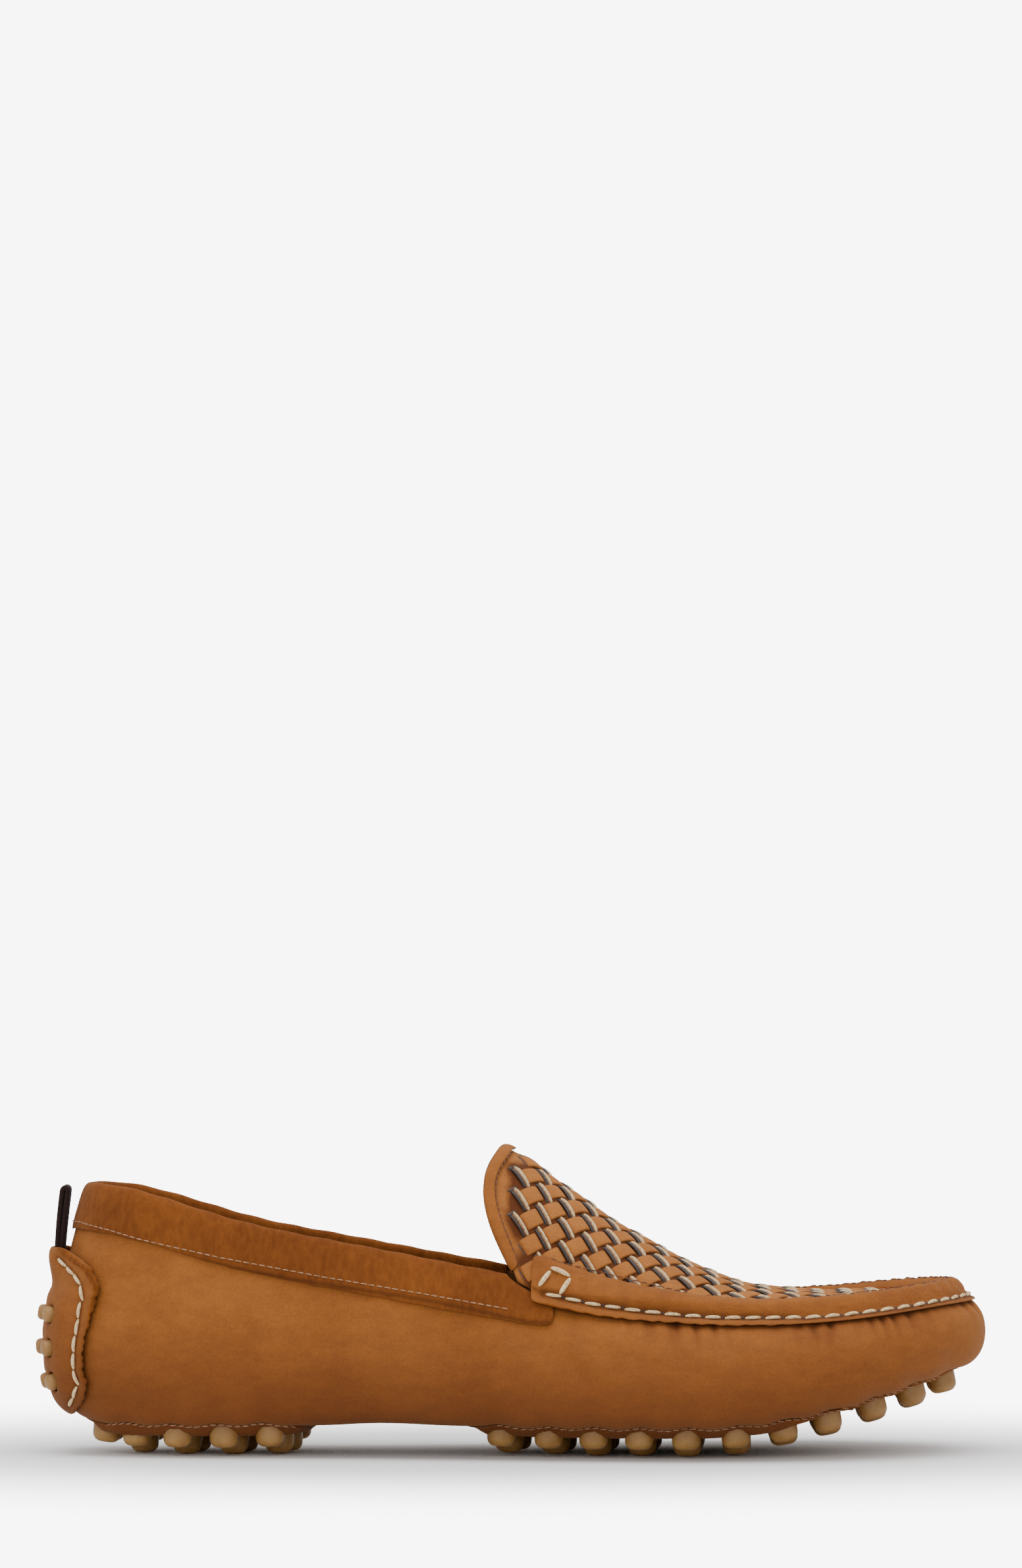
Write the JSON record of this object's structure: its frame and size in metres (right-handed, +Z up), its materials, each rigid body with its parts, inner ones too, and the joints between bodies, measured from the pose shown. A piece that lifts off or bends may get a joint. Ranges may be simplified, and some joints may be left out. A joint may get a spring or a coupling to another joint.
{
  "type": "driving moccasin",
  "caption": "Slip-on driving moccasin with a woven plug, rolled apron seam, suede collar band, heel pull loop and a rubber-pegged sole.",
  "frame": {"origin": "centre of the bounding box's bottom, on the floor", "axes": "+X to the toe, +Y to the inner side of the foot, +Z up"},
  "size_m": [0.285, 0.0994, 0.0923],
  "materials": {
    "apron_strip": "tan nubuck roll with cream hand stitches and a raw-edged flange",
    "back_pegs": "honey-coloured rubber, satin",
    "collar_band": "orange-brown suede, napped, with a fine stitch near its raw edge",
    "forefoot_pegs": "honey-coloured rubber, satin",
    "forefoot_sole_patch": "tan nubuck, matt",
    "heel_counter": "tan nubuck with cream hand stitches and a rough raw edge",
    "heel_pegs": "honey-coloured rubber, satin",
    "heel_sole_patch": "tan nubuck, matt",
    "insole": "brown lining leather, smooth",
    "pull_loop": "dark brown woven webbing",
    "tongue_binding": "tan nubuck, rolled, with a dark machine stitch",
    "upper": "tan nubuck, matt, darker towards the sole",
    "woven_vamp": "tan nubuck strips woven on the bias with cream and dark brown laces"
  },
  "bodies": {
    "root": {"apron_strip": "apron_strip", "back_pegs": "back_pegs", "collar_band": "collar_band", "forefoot_pegs": "forefoot_pegs", "forefoot_sole_patch": "forefoot_sole_patch", "heel_counter": "heel_counter", "heel_pegs": "heel_pegs", "heel_sole_patch": "heel_sole_patch", "insole": "insole", "pull_loop": "pull_loop", "tongue_binding": "tongue_binding", "upper": "upper", "woven_vamp": "woven_vamp"}
  },
  "joints": []
}
